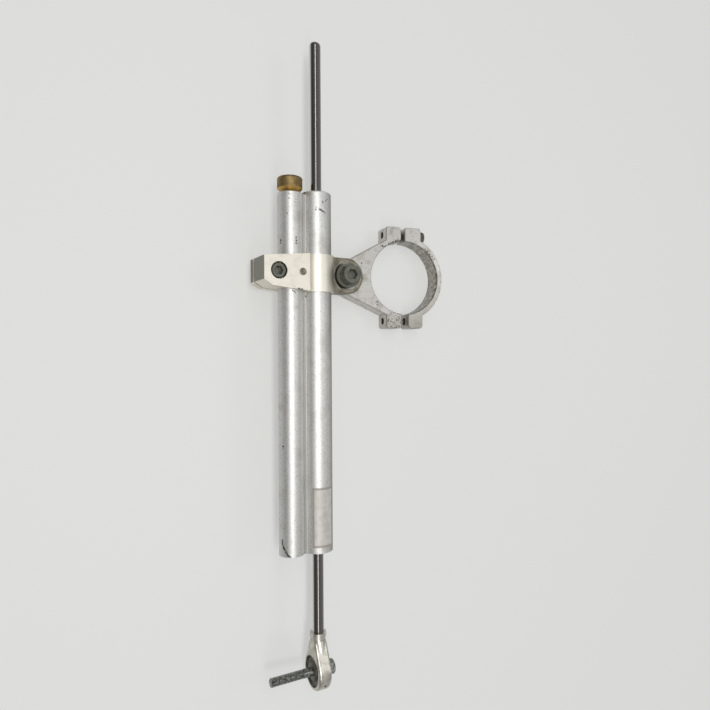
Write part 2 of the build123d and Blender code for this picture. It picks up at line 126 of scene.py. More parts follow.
# Extruded aluminium, bead blasted and clear anodised: a soft silver grey with a broad sheen, cloudy
# grease stains, painted shade down the right flank, grime and painted shade in the web between the tubes,
# and dark nicks where the skin is broken. The blasted grain is about 0.1 mm and is drawn at 0.9 mm, so that it
# shows.
tubeFinish = {
    "silver": "#d3d2cf",
    "stain": ("#b5b1a9", 0.52, 0.72, 0.55),     # by the cloud
    # painted shade: the tube's right flank is painted darker
    "paintedShadeFlank": ("#8f8b87", 0.40, 0.85, 0.85),     # radians round the rod from the front
    # grime and painted shade along the crease of the web between the tubes
    "grimeAndPaintedShade": ("#8b8981", 1.5, 0.9, 0.6),        # mm from the web's middle
    "speck": ("#85837c", 0.52, 0.70, 0.4),      # by the grain
    "nick": ("#2b2a27", 0.0, 1.0, 1.0),
    "webX": -10.7, "raggedMm": 0.6,
    "grainMm": 0.9, "grainDepthMm": 0.022, "cloudMm": 14.0, "streakMm": 0.9, "streakSquash": 0.05,
    "smoothest": 0.45, "roughest": 0.58, "nickRoughness": 0.8,
    "nicks": [
        (-3.9, 44, 9.7, 0.5), (-2, 42.8, 10.3, 0.6), (-1, 42.2, 10.4, 0.6), (0.1, 41.6, 10.5, 0.6),
        (1.3, 41.1, 10.4, 0.55), (2.5, 40.6, 10.2, 0.5), (-4.3, 42.3, 9.6, 0.45), (0.6, 47.7, 10.5, 0.6),
        (3, 49.1, 10.1, 0.5), (4.3, 49.9, 9.6, 0.4), (0.8, -38.1, 10.5, 0.35), (-22.9, 51.3, 7.5, 0.44),
        (-22.9, 48.3, 7.5, 0.4), (-18.3, 47.9, 8.5, 0.28), (-18.3, 45.9, 8.5, 0.28), (-24.1, 38.5, 6.8, 0.4),
        (-26.9, 20.9, 3, 0.7), (-26.9, 19.1, 3, 0.6), (-18.1, 22.6, 8.5, 0.5), (-18.1, 20.7, 8.5, 0.6),
        (-18.1, 18.9, 8.5, 0.5), (-26.4, -115.1, 4.2, 0.64), (-26.5, -116.6, 4, 0.48), (-18.1, -84.2, 8.5, 0.24),
        (-22.5, -51.4, 7.7, 0.24), (-20.7, -12.3, 8.3, 0.5), (-19.7, -13.1, 8.4, 0.6), (-18.6, -13.8, 8.5, 0.4),
        (-9.5, -15.4, 4.4, 0.6), (-8.9, -13.6, 5.5, 0.4), (-27, -177, 2.9, 0.7), (-26.9, -178.3, 3.1, 0.6),
        (-26.8, -179.6, 3.3, 0.8), (-26.5, -180.8, 3.9, 0.6), (-26.3, -181.9, 4.3, 0.8), (-25.9, -183, 4.9, 0.7),
        (-25.5, -184.2, 5.5, 0.8), (-25, -185.3, 6.1, 0.7), (-24.4, -186.3, 6.6, 0.8), (-23.7, -187, 7.1, 0.7),
        (-22.5, -187.4, 7.7, 0.35),
    ],
}


def makeTubeFinish():
    f = tubeFinish
    material, tree = newFinish("clear anodised extruded aluminium")
    place = millimetres(tree, True)
    along = add(tree, "ShaderNodeVectorMath", {0: place, 1: (1.0, f["streakSquash"], 1.0)}, operation="MULTIPLY")
    grain = add(tree, "ShaderNodeTexNoise", {"Vector": place, "Scale": 1 / f["grainMm"], "Detail": 2.0})
    cloud = add(tree, "ShaderNodeTexNoise", {"Vector": place, "Scale": 1 / f["cloudMm"], "Detail": 5.0})
    streak = add(tree, "ShaderNodeTexNoise", {"Vector": along, "Scale": 1 / f["streakMm"], "Detail": 3.0})
    nicks = marks(tree, place, f["nicks"], f["raggedMm"])
    split = add(tree, "ShaderNodeSeparateXYZ", {"Vector": place})
    around = add(tree, "ShaderNodeMath", {0: split.outputs["X"], 1: split.outputs["Z"]}, operation="ARCTAN2")
    fromWeb = add(tree, "ShaderNodeMath", {0: split.outputs["X"], 1: f["webX"]}, operation="SUBTRACT")
    fromWeb = add(tree, "ShaderNodeMath", {0: fromWeb}, operation="ABSOLUTE")
    # the right flank and the web are darkened with painted shade, the web partly with grime too
    skin = paint(tree, colour(f["silver"]), [(cloud, f["stain"]), (around, f["paintedShadeFlank"]), (fromWeb, f["grimeAndPaintedShade"]),
                                             (grain, f["speck"]), (nicks, f["nick"])])
    rough = add(tree, "ShaderNodeMix", {0: streak, 2: f["smoothest"], 3: f["roughest"]})
    rough = add(tree, "ShaderNodeMix", {0: nicks, 2: rough, 3: f["nickRoughness"]})
    height = add(tree, "ShaderNodeMath", {0: grain, 1: nicks}, operation="SUBTRACT")
    bump = add(tree, "ShaderNodeBump", {"Height": height, "Strength": 1.0, "Distance": f["grainDepthMm"] / 1000})
    shader = add(tree, "ShaderNodeBsdfPrincipled",
                 {"Base Color": skin, "Metallic": 1.0, "Roughness": rough, "Normal": bump})
    add(tree, "ShaderNodeOutputMaterial", {"Surface": shader})
    return material


# Machined aluminium of the collar: bright and scuffed on the block, with painted shade on its flat left end,
# brown with old grease round the bearing, and a rubbed ring where the washer turned on it. The cutter's marks are
# finer than the grain, drawn at 0.6 mm so that it shows.
collarFinish = {
    "silver": "#e2ddd1",
    "scuff": ("#d2ccbf", 0.5, 0.8, 1.0),        # by the cloud
    # painted shade: the flat left end of the collar is painted dark
    "end": ("#87857b", -41.7, -41.8, 1.0),      # mm along X, the flat left end
    "nick": ("#2a2723", 0.0, 1.0, 1.0),
    "greaseDark": "#625d50",
    "grease": ("#857f70", 0.35, 0.7, 1.0),      # by the cloud
    "rubbedWearAndPaintedReflection": ("#aba799", 0.0, 1.0, 1.0),
    "pivotX": 22.2, "ringRadius": 10.6, "ringEdge": (0.45, 0.1), "ringBreaks": (0.35, 0.6),
    "greaseEdgeX": 10.9, "greaseSoftMm": 1.2, "greaseWander": 1.6, "greaseMetallic": 0.55, "greaseRoughness": 0.5,
    "grainMm": 0.6, "grainDepthMm": 0.03, "cloudMm": 5.0, "smoothest": 0.42, "roughest": 0.56, "raggedMm": 0.35,
    "nicks": [(-18.0, -11.4, 12.0, 0.7), (-15.8, -11.7, 12.0, 0.7), (-17.0, -11.9, 11.4, 0.8),
              (-13.9, -12.3, 11.8, 0.4)],
}


def makeCollarFinish():
    f = collarFinish
    material, tree = newFinish("machined aluminium with old grease")
    place = millimetres(tree, True)
    grain = add(tree, "ShaderNodeTexNoise", {"Vector": place, "Scale": 1 / f["grainMm"], "Detail": 4.0})
    cloud = add(tree, "ShaderNodeTexNoise", {"Vector": place, "Scale": 1 / f["cloudMm"], "Detail": 6.0})
    across = add(tree, "ShaderNodeSeparateXYZ", {"Vector": place}).outputs["X"]
    nicks = marks(tree, place, f["nicks"], f["raggedMm"])
    silver = paint(tree, colour(f["silver"]), [(cloud, f["scuff"]), (across, f["end"]), (nicks, f["nick"])])

    fromPivot = add(tree, "ShaderNodeVectorMath", {0: place, 1: (-f["pivotX"], 0, 0)}, operation="ADD")
    flat = add(tree, "ShaderNodeVectorMath", {0: fromPivot, 1: (1, 1, 0)}, operation="MULTIPLY")
    radius = add(tree, "ShaderNodeVectorMath", {0: flat}, operation="LENGTH").outputs["Value"]
    offRing = add(tree, "ShaderNodeMath", {0: radius, 1: f["ringRadius"]}, operation="SUBTRACT")
    offRing = add(tree, "ShaderNodeMath", {0: offRing}, operation="ABSOLUTE")
    ring = 1.0
    for pattern, (start, full) in ((offRing, f["ringEdge"]), (cloud, f["ringBreaks"])):
        fade = add(tree, "ShaderNodeMapRange", {"Value": pattern, "From Min": start, "From Max": full})
        ring = add(tree, "ShaderNodeMath", {0: ring, 1: fade}, operation="MULTIPLY")
    grease = paint(tree, colour(f["greaseDark"]), [(cloud, f["grease"]), (ring, f["rubbedWearAndPaintedReflection"])])

    edge = add(tree, "ShaderNodeMath", {0: cloud, 1: f["greaseWander"], 2: across}, operation="MULTIPLY_ADD")
    greasy = add(tree, "ShaderNodeMapRange", {"Value": edge, "From Min": f["greaseEdgeX"],
                                              "From Max": f["greaseEdgeX"] + f["greaseSoftMm"]})
    skin = add(tree, "ShaderNodeMix", {0: greasy, 6: silver, 7: grease}, data_type="RGBA").outputs[2]
    metal = add(tree, "ShaderNodeMix", {0: greasy, 2: 1.0, 3: f["greaseMetallic"]})
    rough = add(tree, "ShaderNodeMix", {0: grain, 2: f["smoothest"], 3: f["roughest"]})
    rough = add(tree, "ShaderNodeMix", {0: greasy, 2: rough, 3: f["greaseRoughness"]})
    bump = add(tree, "ShaderNodeBump", {"Height": grain, "Strength": 1.0, "Distance": f["grainDepthMm"] / 1000})
    shader = add(tree, "ShaderNodeBsdfPrincipled",
                 {"Base Color": skin, "Metallic": metal, "Roughness": rough, "Normal": bump})
    add(tree, "ShaderNodeOutputMaterial", {"Surface": shader})
    return material


# Tumbled aluminium of the fork clamp: grey silver, pitted and specked, most of all on the lower ear,
# duller towards the low right, and olive in the bore where it held the fork leg, with a dark worn rim.
# The tumbled grain is finer than 0.1 mm and is drawn at 0.5 mm, so that it shows.
clampFinish = {
    "silver": "#c4c1bc",
    "scuff": ("#9c978f", 0.5, 0.75, 1.0),       # by the cloud
    "dull": ("#8f8b82", 10.0, 40.0, 0.9),       # mm along dullWay
    "dullWay": (0.6, -0.8, 0),
    "dirt": ("#4d4233", 0.0, 1.0, 1.0),
    "pit": ("#37332d", 0.0, 1.0, 1.0),
    "bore": "#84827a",
    "boreWorn": ("#b4b1a9", 0.40, 0.62, 1.0),   # by the scuffs
    "rim": ("#4f4c44", 0.0, 1.0, 1.0),
    "rimHeight": (4.6, 6.8), "rimBreaks": (0.62, 0.44), "boreEdge": (27.12, 27.04),
    "speckMm": 1.1, "speckStart": 0.66, "speckStartOnEar": 0.56, "speckSoft": 0.05, "speckStrength": 0.75,
    "ear": (-7.0, -33.0, 7.5), "earReach": (9.0, 6.0), "raggedMm": 0.7,
    "grainMm": 0.5, "grainDepthMm": 0.02, "cloudMm": 6.0, "scuffMm": 2.2,
    "smoothest": 0.30, "roughest": 0.46, "dirtMetallic": 0.2, "dirtRoughness": 0.7,
    "pits": [
        (-22.4, -18.3, 7.5, 0.6), (-22.4, -20.5, 7.5, 0.5), (-22.4, -22.7, 7.5, 0.5), (-13.5, -31.5, 7.5, 0.7),
        (-12.2, -32.4, 7.5, 0.4), (-10.5, -33.0, 7.5, 0.5), (-8.6, -33.4, 7.5, 0.6), (-6.4, -34.8, 7.5, 0.5),
        (-4.6, -35.8, 7.5, 0.6), (-33.7, 18.1, 7.5, 0.6), (-34.5, 9.3, 7.5, 0.5), (-17.9, 22.6, 7.5, 0.8),
        (6.5, 31.4, 7.5, 0.4), (7.0, 28.9, 7.5, 0.3),
    ],
    "dirtSpots": [
        (-3.4, 27.5, 7.5, 0.8), (-5.3, 27.2, 7.5, 0.9), (-7.2, 26.8, 7.5, 0.9), (-9.5, 26.0, 7.5, 0.8),
        (-11.3, 25.3, 7.5, 0.7), (-13.0, 24.4, 7.5, 0.8), (-15.8, 22.7, 7.5, 0.7), (16.9, 22.2, 7.4, 0.6),
        (18.9, 20.6, 7.4, 0.7), (21.0, 18.6, 7.4, 0.8), (22.9, 17.0, 7.5, 0.6), (25.0, 15.3, 7.5, 0.5),
    ],
}


def makeClampFinish():
    f = clampFinish
    material, tree = newFinish("tumbled aluminium of the fork clamp")
    place = millimetres(tree, False)
    grain = add(tree, "ShaderNodeTexNoise", {"Vector": place, "Scale": 1 / f["grainMm"], "Detail": 4.0})
    cloud = add(tree, "ShaderNodeTexNoise", {"Vector": place, "Scale": 1 / f["cloudMm"], "Detail": 6.0})
    fine = add(tree, "ShaderNodeTexNoise", {"Vector": place, "Scale": 1 / f["speckMm"], "Detail": 2.0})
    scuffs = add(tree, "ShaderNodeTexNoise", {"Vector": place, "Scale": 1 / f["scuffMm"], "Detail": 5.0})

    # specks start at a lower level of the noise near the lower ear, so there are more of them
    fromEar = add(tree, "ShaderNodeVectorMath", {0: place, 1: f["ear"]}, operation="DISTANCE").outputs["Value"]
    onEar = add(tree, "ShaderNodeMapRange",
                {"Value": fromEar, "From Min": f["earReach"][0], "From Max": f["earReach"][1]})
    start = add(tree, "ShaderNodeMix", {0: onEar, 2: f["speckStart"], 3: f["speckStartOnEar"]})
    specks = add(tree, "ShaderNodeMath", {0: fine, 1: start}, operation="SUBTRACT")
    specks = add(tree, "ShaderNodeMapRange",
                 {"Value": specks, "From Max": f["speckSoft"], "To Max": f["speckStrength"]})
    pits = marks(tree, place, f["pits"], f["raggedMm"])
    pits = add(tree, "ShaderNodeMath", {0: pits, 1: specks}, operation="MAXIMUM")
    dirty = marks(tree, place, f["dirtSpots"], f["raggedMm"])

    height = add(tree, "ShaderNodeSeparateXYZ", {"Vector": place}).outputs["Z"]
    rim = 1.0
    for pattern, (first, full) in ((height, f["rimHeight"]), (scuffs, f["rimBreaks"])):
        fade = add(tree, "ShaderNodeMapRange", {"Value": pattern, "From Min": first, "From Max": full})
        rim = add(tree, "ShaderNodeMath", {0: rim, 1: fade}, operation="MULTIPLY")
    bore = paint(tree, colour(f["bore"]), [(scuffs, f["boreWorn"]), (rim, f["rim"])])

    flat = add(tree, "ShaderNodeVectorMath", {0: place, 1: (1, 1, 0)}, operation="MULTIPLY")
    radius = add(tree, "ShaderNodeVectorMath", {0: flat}, operation="LENGTH").outputs["Value"]
    inBore = add(tree, "ShaderNodeMapRange",
                 {"Value": radius, "From Min": f["boreEdge"][0], "From Max": f["boreEdge"][1]})
    low = add(tree, "ShaderNodeVectorMath", {0: place, 1: f["dullWay"]}, operation="DOT_PRODUCT").outputs["Value"]
    skin = paint(tree, colour(f["silver"]), [(cloud, f["scuff"]), (low, f["dull"])])
    skin = add(tree, "ShaderNodeMix", {0: inBore, 6: skin, 7: bore}, data_type="RGBA").outputs[2]
    skin = paint(tree, skin, [(dirty, f["dirt"]), (pits, f["pit"])])
    metal = add(tree, "ShaderNodeMix", {0: dirty, 2: 1.0, 3: f["dirtMetallic"]})
    rough = add(tree, "ShaderNodeMix", {0: grain, 2: f["smoothest"], 3: f["roughest"]})
    rough = add(tree, "ShaderNodeMix", {0: dirty, 2: rough, 3: f["dirtRoughness"]})
    relief = add(tree, "ShaderNodeMath", {0: grain, 1: pits}, operation="SUBTRACT")
    bump = add(tree, "ShaderNodeBump", {"Height": relief, "Strength": 1.0, "Distance": f["grainDepthMm"] / 1000})
    shader = add(tree, "ShaderNodeBsdfPrincipled",
                 {"Base Color": skin, "Metallic": metal, "Roughness": rough, "Normal": bump})
    add(tree, "ShaderNodeOutputMaterial", {"Surface": shader})
    return material


# A plain metal, rubber or plastic with a fine grain and a slow change of tone. Turned and ground
# marks are finer than the grain given here, which is as coarse as it needs to be to show.
plainFinishes = {
    # light tone, dark tone, metallic, roughness, grain in mm, depth of the grain in mm
    "satin steel of the ball end": ("#d6d2c9", "#aba69b", 1.0, 0.38, 0.7, 0.006),
    "dull steel of the ball": ("#6d6c66", "#4f4e49", 1.0, 0.45, 0.7, 0.006),
    "ground bearing steel": ("#77756f", "#4c4a44", 1.0, 0.32, 0.5, 0.004),
    "black oxide steel": ("#5c5d55", "#6e6e66", 0.85, 0.42, 0.5, 0.012),
    "worn dark stud steel": ("#4f514e", "#b4b5af", 0.9, 0.40, 0.16, 0.02),
    "turned brass": ("#c6a15a", "#a88446", 1.0, 0.28, 0.4, 0.004),
    "plain spring steel": ("#8d8b88", "#6f6d6a", 1.0, 0.30, 0.4, 0.004),
    "turned aluminium": ("#b9b8b5", "#a3a19d", 1.0, 0.30, 0.5, 0.004),
    "nitrile rubber": ("#171717", "#222120", 0.0, 0.62, 0.3, 0.01),
    "white bearing plastic": ("#dcd9d2", "#cfccc3", 0.0, 0.5, 0.4, 0.004),
}
plainSpread = {"cloudScale": 0.14, "darkStart": 0.35, "darkFull": 0.7, "roughness": 0.2}


def makePlainFinish(name):
    light, dark, metallic, roughness, grainMm, depthMm = plainFinishes[name]
    p = plainSpread
    material, tree = newFinish(name)
    place = millimetres(tree, True)
    grain = add(tree, "ShaderNodeTexNoise", {"Vector": place, "Scale": 1 / grainMm, "Detail": 3.0})
    cloud = add(tree, "ShaderNodeTexNoise", {"Vector": place, "Scale": p["cloudScale"] / grainMm, "Detail": 5.0})
    skin = paint(tree, colour(light), [(cloud, (dark, p["darkStart"], p["darkFull"], 1.0))])
    rough = add(tree, "ShaderNodeMix", {0: grain, 2: roughness * (1 - p["roughness"]),
                                        3: roughness * (1 + p["roughness"])})
    bump = add(tree, "ShaderNodeBump", {"Height": grain, "Strength": 1.0, "Distance": depthMm / 1000})
    shader = add(tree, "ShaderNodeBsdfPrincipled",
                 {"Base Color": skin, "Metallic": metallic, "Roughness": rough, "Normal": bump})
    add(tree, "ShaderNodeOutputMaterial", {"Surface": shader})
    return material


# Old brass of the knob: olive brown on the knurl, bright on the bevel at its foot, with rusty specks.
knobFinish = {
    "light": "#8f7a52",
    "dark": ("#6d5c3d", 0.35, 0.7, 1.0),        # by the cloud
    "bevel": ("#bf9a55", 56.6, 56.4, 1.0),      # mm along Y
    "speck": ("#4e3526", 0.70, 0.76, 1.0),      # by the grain
    "metallic": 0.95, "smoothest": 0.32, "roughest": 0.48, "grainMm": 0.6, "grainDepthMm": 0.012, "cloudMm": 3.5,
}


def makeKnobFinish():
    f = knobFinish
    material, tree = newFinish("old brass of the knob")
    place = millimetres(tree, True)
    grain = add(tree, "ShaderNodeTexNoise", {"Vector": place, "Scale": 1 / f["grainMm"], "Detail": 3.0})
    cloud = add(tree, "ShaderNodeTexNoise", {"Vector": place, "Scale": 1 / f["cloudMm"], "Detail": 5.0})
    along = add(tree, "ShaderNodeSeparateXYZ", {"Vector": place}).outputs["Y"]
    skin = paint(tree, colour(f["light"]), [(cloud, f["dark"]), (along, f["bevel"]), (grain, f["speck"])])
    rough = add(tree, "ShaderNodeMix", {0: grain, 2: f["smoothest"], 3: f["roughest"]})
    bump = add(tree, "ShaderNodeBump", {"Height": grain, "Strength": 1.0, "Distance": f["grainDepthMm"] / 1000})
    shader = add(tree, "ShaderNodeBsdfPrincipled",
                 {"Base Color": skin, "Metallic": f["metallic"], "Roughness": rough, "Normal": bump})
    add(tree, "ShaderNodeOutputMaterial", {"Surface": shader})
    return material


# Hard chrome of the rod: dark and glossy, with painted reflections: lighter grey down its right side and bright
# along its left.
rodFinish = {
    "face": "#706c69",
    # painted reflection: a lighter grey down the rod's right side
    "rubbedWearAndPaintedReflection": ("#7e7a78", -0.25, 0.1, 1.0),     # radians round the rod from the front
    # painted reflection: bright along the rod's left side, between the angles on the next line
    "paintedBrightReflection": ("#d9dad8", 0.0, 1.0, 1.0),
    "paintedReflectionEdges": ((-1.17, -1.32), (-2.7, -2.4)),
    "smoothest": 0.10, "roughest": 0.14, "wipeMm": 0.8, "wipeSquash": 0.03,
}


def makeRodFinish():
    f = rodFinish
    material, tree = newFinish("hard chrome of the rod")
    place = millimetres(tree, True)
    along = add(tree, "ShaderNodeVectorMath", {0: place, 1: (1.0, f["wipeSquash"], 1.0)}, operation="MULTIPLY")
    wipe = add(tree, "ShaderNodeTexNoise", {"Vector": along, "Scale": 1 / f["wipeMm"], "Detail": 3.0})
    split = add(tree, "ShaderNodeSeparateXYZ", {"Vector": place})
    around = add(tree, "ShaderNodeMath", {0: split.outputs["X"], 1: split.outputs["Z"]}, operation="ARCTAN2")
    # painted reflection: the bright strip along the rod's left side
    paintedBrightReflection = 1.0
    for start, full in f["paintedReflectionEdges"]:
        fade = add(tree, "ShaderNodeMapRange", {"Value": around, "From Min": start, "From Max": full})
        paintedBrightReflection = add(tree, "ShaderNodeMath", {0: paintedBrightReflection, 1: fade}, operation="MULTIPLY")
    skin = paint(tree, colour(f["face"]), [(around, f["rubbedWearAndPaintedReflection"]), (paintedBrightReflection, f["paintedBrightReflection"])])
    rough = add(tree, "ShaderNodeMix", {0: wipe, 2: f["smoothest"], 3: f["roughest"]})
    shader = add(tree, "ShaderNodeBsdfPrincipled", {"Base Color": skin, "Metallic": 1.0, "Roughness": rough})
    add(tree, "ShaderNodeOutputMaterial", {"Surface": shader})
    return material


# Thin bare foil, a little cloudy, with a plain grey-brown border.
foilFinish = {
    "foil": "#c3bfba",
    "cloud": ("#b2aea8", 0.4, 0.7, 1.0),
    "border": ("#9c968e", 0.0, 1.0, 1.0),
    "top": -143.8, "foot": -183.8, "borderMm": 1.3, "softMm": 0.2,
    "sideAngle": 0.64, "softAngle": 0.02,       # radians round the rod
    "metallic": 0.35, "roughness": 0.55, "cloudMm": 4.0, "creaseMm": 0.02,
}


def makeFoilFinish():
    f = foilFinish
    material, tree = newFinish("bare aluminium foil")
    place = millimetres(tree, True)
    cloud = add(tree, "ShaderNodeTexNoise", {"Vector": place, "Scale": 1 / f["cloudMm"], "Detail": 5.0})
    split = add(tree, "ShaderNodeSeparateXYZ", {"Vector": place})
    around = add(tree, "ShaderNodeMath", {0: split.outputs["X"], 1: split.outputs["Z"]}, operation="ARCTAN2")
    middle = (f["top"] + f["foot"]) / 2
    topEdge = f["top"] - middle - f["borderMm"]
    along = add(tree, "ShaderNodeMath", {0: split.outputs["Y"], 1: middle}, operation="SUBTRACT")
    border = 0.0
    for offset, edge, soft in ((along, topEdge, f["softMm"]), (around, f["sideAngle"], f["softAngle"])):
        away = add(tree, "ShaderNodeMath", {0: offset}, operation="ABSOLUTE")
        strip = add(tree, "ShaderNodeMapRange", {"Value": away, "From Min": edge - soft, "From Max": edge})
        border = add(tree, "ShaderNodeMath", {0: border, 1: strip}, operation="MAXIMUM")
    skin = paint(tree, colour(f["foil"]), [(cloud, f["cloud"]), (border, f["border"])])
    bump = add(tree, "ShaderNodeBump", {"Height": cloud, "Strength": 1.0, "Distance": f["creaseMm"] / 1000})
    shader = add(tree, "ShaderNodeBsdfPrincipled",
                 {"Base Color": skin, "Metallic": f["metallic"], "Roughness": f["roughness"], "Normal": bump})
    add(tree, "ShaderNodeOutputMaterial", {"Surface": shader})
    return material


finishes = {name: makePlainFinish(name) for name in plainFinishes}
finishes["tube"] = makeTubeFinish()
finishes["collar"] = makeCollarFinish()
finishes["clamp"] = makeClampFinish()
finishes["foil"] = makeFoilFinish()
finishes["rod"] = makeRodFinish()
finishes["knob"] = makeKnobFinish()

nodeFinish = {
    "cylinder_body": "tube", "body_collar": "collar", "fork_clamp_bracket": "clamp", "fork_clamp_cap": "clamp",
    "foil_plate": "foil", "piston_rod": "rod", "adjuster_knob": "knob",
    "rod_end_eye": "satin steel of the ball end", "rod_end_race": "dull steel of the ball",
    "rod_end_ball": "dull steel of the ball", "rod_end_screw": "worn dark stud steel",
    "pivot_race": "ground bearing steel", "pivot_ball": "ground bearing steel",
    "pivot_washer": "black oxide steel", "pivot_screw": "black oxide steel",
    "pinch_screw": "black oxide steel", "clamp_screw": "black oxide steel",
    "upper_rod_guide": "turned brass", "lower_rod_guide": "turned brass", "metering_spool": "turned brass",
    "piston": "turned aluminium", "adjuster_gland": "turned aluminium", "side_bore_plug": "turned aluminium",
    "piston_band": "white bearing plastic", "detent_ball": "ground bearing steel",
    "guide_circlips": "plain spring steel", "rod_circlips": "plain spring steel",
    "detent_spring": "plain spring steel", "guide_o_rings": "nitrile rubber", "spool_o_ring": "nitrile rubber",
    "plug_o_ring": "nitrile rubber", "upper_rod_seal": "nitrile rubber", "lower_rod_seal": "nitrile rubber",
    "upper_rod_wiper": "nitrile rubber", "lower_rod_wiper": "nitrile rubber",
}
for name, finish in nodeFinish.items():
    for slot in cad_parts[name].material_slots:
        slot.material = finishes[finish]
print("finishes made for", len(nodeFinish), "pieces")


# A turned blank along Z, in mm. Each row is (radius, height) or (half width across flats, height, "hex").
def turnedBlank(name, rows, around):
    mesh = bpy.data.meshes.new(name)
    shape = bmesh.new()
    rings = []
    for row in rows:
        if row[0] == 0:
            rings.append([shape.verts.new((0, 0, row[1]))])
            continue
        ring = []
        for i in range(around):
            angle = 2 * math.pi * i / around
            radius = row[0]
            if len(row) == 3:
                radius /= math.cos(angle % (math.pi / 3) - math.pi / 6)
            ring.append(shape.verts.new((radius * math.cos(angle), radius * math.sin(angle), row[1])))
        rings.append(ring)
    for lower, upper in zip(rings, rings[1:]):
        for i in range(around):
            j = (i + 1) % around
            corners = [lower[i % len(lower)], lower[j % len(lower)], upper[j % len(upper)], upper[i % len(upper)]]
            shape.faces.new(list(dict.fromkeys(corners)))   # three corners at a pole
    bmesh.ops.recalc_face_normals(shape, faces=shape.faces)
    shape.to_mesh(mesh)
    shape.free()
    piece = bpy.data.objects.new(name, mesh)
    bpy.context.scene.collection.objects.link(piece)
    return piece


# Cuts a knurl or a thread into the outer skin of a turned blank: grooves that climb by Slant turns
# per mm, crossed by a second set when Crossed is 1.
def makeCutTree():
    tree = bpy.data.node_groups.new("cut knurl or thread", "GeometryNodeTree")
    face = tree.interface
    face.new_socket("Geometry", in_out="INPUT", socket_type="NodeSocketGeometry")
    for name, value in (("Starts", 1.0), ("Slant", 0.0), ("Crossed", 0.0), ("Depth", 0.2), ("Skin Radius", 1.0),
                        ("Low", 0.0), ("High", 1.0)):
        face.new_socket(name, in_out="INPUT", socket_type="NodeSocketFloat").default_value = value
    face.new_socket("Finish", in_out="INPUT", socket_type="NodeSocketMaterial")
    face.new_socket("Geometry", in_out="OUTPUT", socket_type="NodeSocketGeometry")
    given = add(tree, "NodeGroupInput").outputs
    x, y, z = add(tree, "ShaderNodeSeparateXYZ", {0: add(tree, "GeometryNodeInputPosition")}).outputs

    # two sets of waves round the axis, 0 to 1, one climbing each way
    angle = add(tree, "ShaderNodeMath", {0: y, 1: x}, operation="ARCTAN2")
    turns = add(tree, "ShaderNodeMath", {0: angle, 1: 1 / (2 * math.pi)}, operation="MULTIPLY")
    teeth = add(tree, "ShaderNodeMath", {0: turns, 1: given["Starts"]}, operation="MULTIPLY")
    climb = add(tree, "ShaderNodeMath", {0: z, 1: given["Slant"]}, operation="MULTIPLY")
    waves = []
    for operation in ("SUBTRACT", "ADD"):
        phase = add(tree, "ShaderNodeMath", {0: teeth, 1: climb}, operation=operation)
        part = add(tree, "ShaderNodeMath", {0: phase}, operation="FRACT")
        centred = add(tree, "ShaderNodeMath", {0: part, 1: 2.0, 2: -1.0}, operation="MULTIPLY_ADD")
        waves.append(add(tree, "ShaderNodeMath", {0: centred}, operation="ABSOLUTE"))
    second = add(tree, "ShaderNodeMath", {0: waves[1], 1: given["Crossed"]}, operation="MULTIPLY")
    wave = add(tree, "ShaderNodeMath", {0: waves[0], 1: second}, operation="MAXIMUM")

    # only the skin between Low and High is cut, straight towards the axis
    flat = add(tree, "ShaderNodeCombineXYZ", {0: x, 1: y})
    radius = add(tree, "ShaderNodeVectorMath", {0: flat}, operation="LENGTH").outputs["Value"]
    depth = add(tree, "ShaderNodeMath", {0: wave, 1: given["Depth"]}, operation="MULTIPLY")
    for place, limit, test in ((radius, "Skin Radius", "GREATER_THAN"), (z, "Low", "GREATER_THAN"),
                               (z, "High", "LESS_THAN")):
        inside = add(tree, "ShaderNodeMath", {0: place, 1: given[limit]}, operation=test)
        depth = add(tree, "ShaderNodeMath", {0: depth, 1: inside}, operation="MULTIPLY")
    inwards = add(tree, "ShaderNodeMath", {0: depth, 1: -1.0}, operation="MULTIPLY")
    outward = add(tree, "ShaderNodeVectorMath", {0: flat}, operation="NORMALIZE")
    offset = add(tree, "ShaderNodeVectorMath", {0: outward, "Scale": inwards}, operation="SCALE")
    cut = add(tree, "GeometryNodeSetPosition", {"Geometry": given["Geometry"], "Offset": offset})
    whole = add(tree, "GeometryNodeRealizeInstances", {0: cut})
    dressed = add(tree, "GeometryNodeSetMaterial", {"Geometry": whole, "Material": given["Finish"]})
    add(tree, "NodeGroupOutput", {0: dressed})
    return tree


cutTree = makeCutTree()


# Cuts the blank, puts it in its place and makes it a plain mesh at the origin.
def finishTurned(piece, cuts, finish, space, body, node):
    for cut in cuts:
        modifier = piece.modifiers.new("cut", "NODES")
        modifier.node_group = cutTree
        values = {**cut, "Finish": finish}
        for socket in cutTree.interface.items_tree:
            if socket.in_out == "INPUT" and socket.name in values:
                modifier[socket.identifier] = values[socket.name]
    bpy.context.view_layer.update()
    graph = bpy.context.evaluated_depsgraph_get()
    mesh = bpy.data.meshes.new_from_object(piece.evaluated_get(graph))
    piece.modifiers.clear()
    piece.data = mesh
    mesh.transform(space)
    mesh.materials.clear()
    mesh.materials.append(finish)
    mesh.shade_smooth()
    mesh.set_sharp_from_angle(angle=math.radians(32))
    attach(piece, body)
    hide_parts(node)
    return piece


def steps(radius, low, high, rise):
    count = max(1, round(abs(high - low) / rise))
    return [(radius, low + (high - low) * i / count) for i in range(count + 1)]


# How fine every turned piece is, and the play between a cut and the edge beside it, in mm.
turning = {"columnsPerTooth": 6, "rowsPerThread": 8, "play": 0.05}

# The adjuster: a brass thumb knob with a fine diamond knurl, a rounded top and a bright bevelled foot.
knob = {
    "radius": 8.5, "foot": 54.3, "height": 9.8, "topRound": 1.6, "topRows": 6, "topFlat": 0.45, "footBevel": 2.0,
    "teeth": 54, "slant": 1.0, "depth": 0.16, "rowMm": 0.16, "stemRadius": 3.03, "stemReach": 8.0,
}


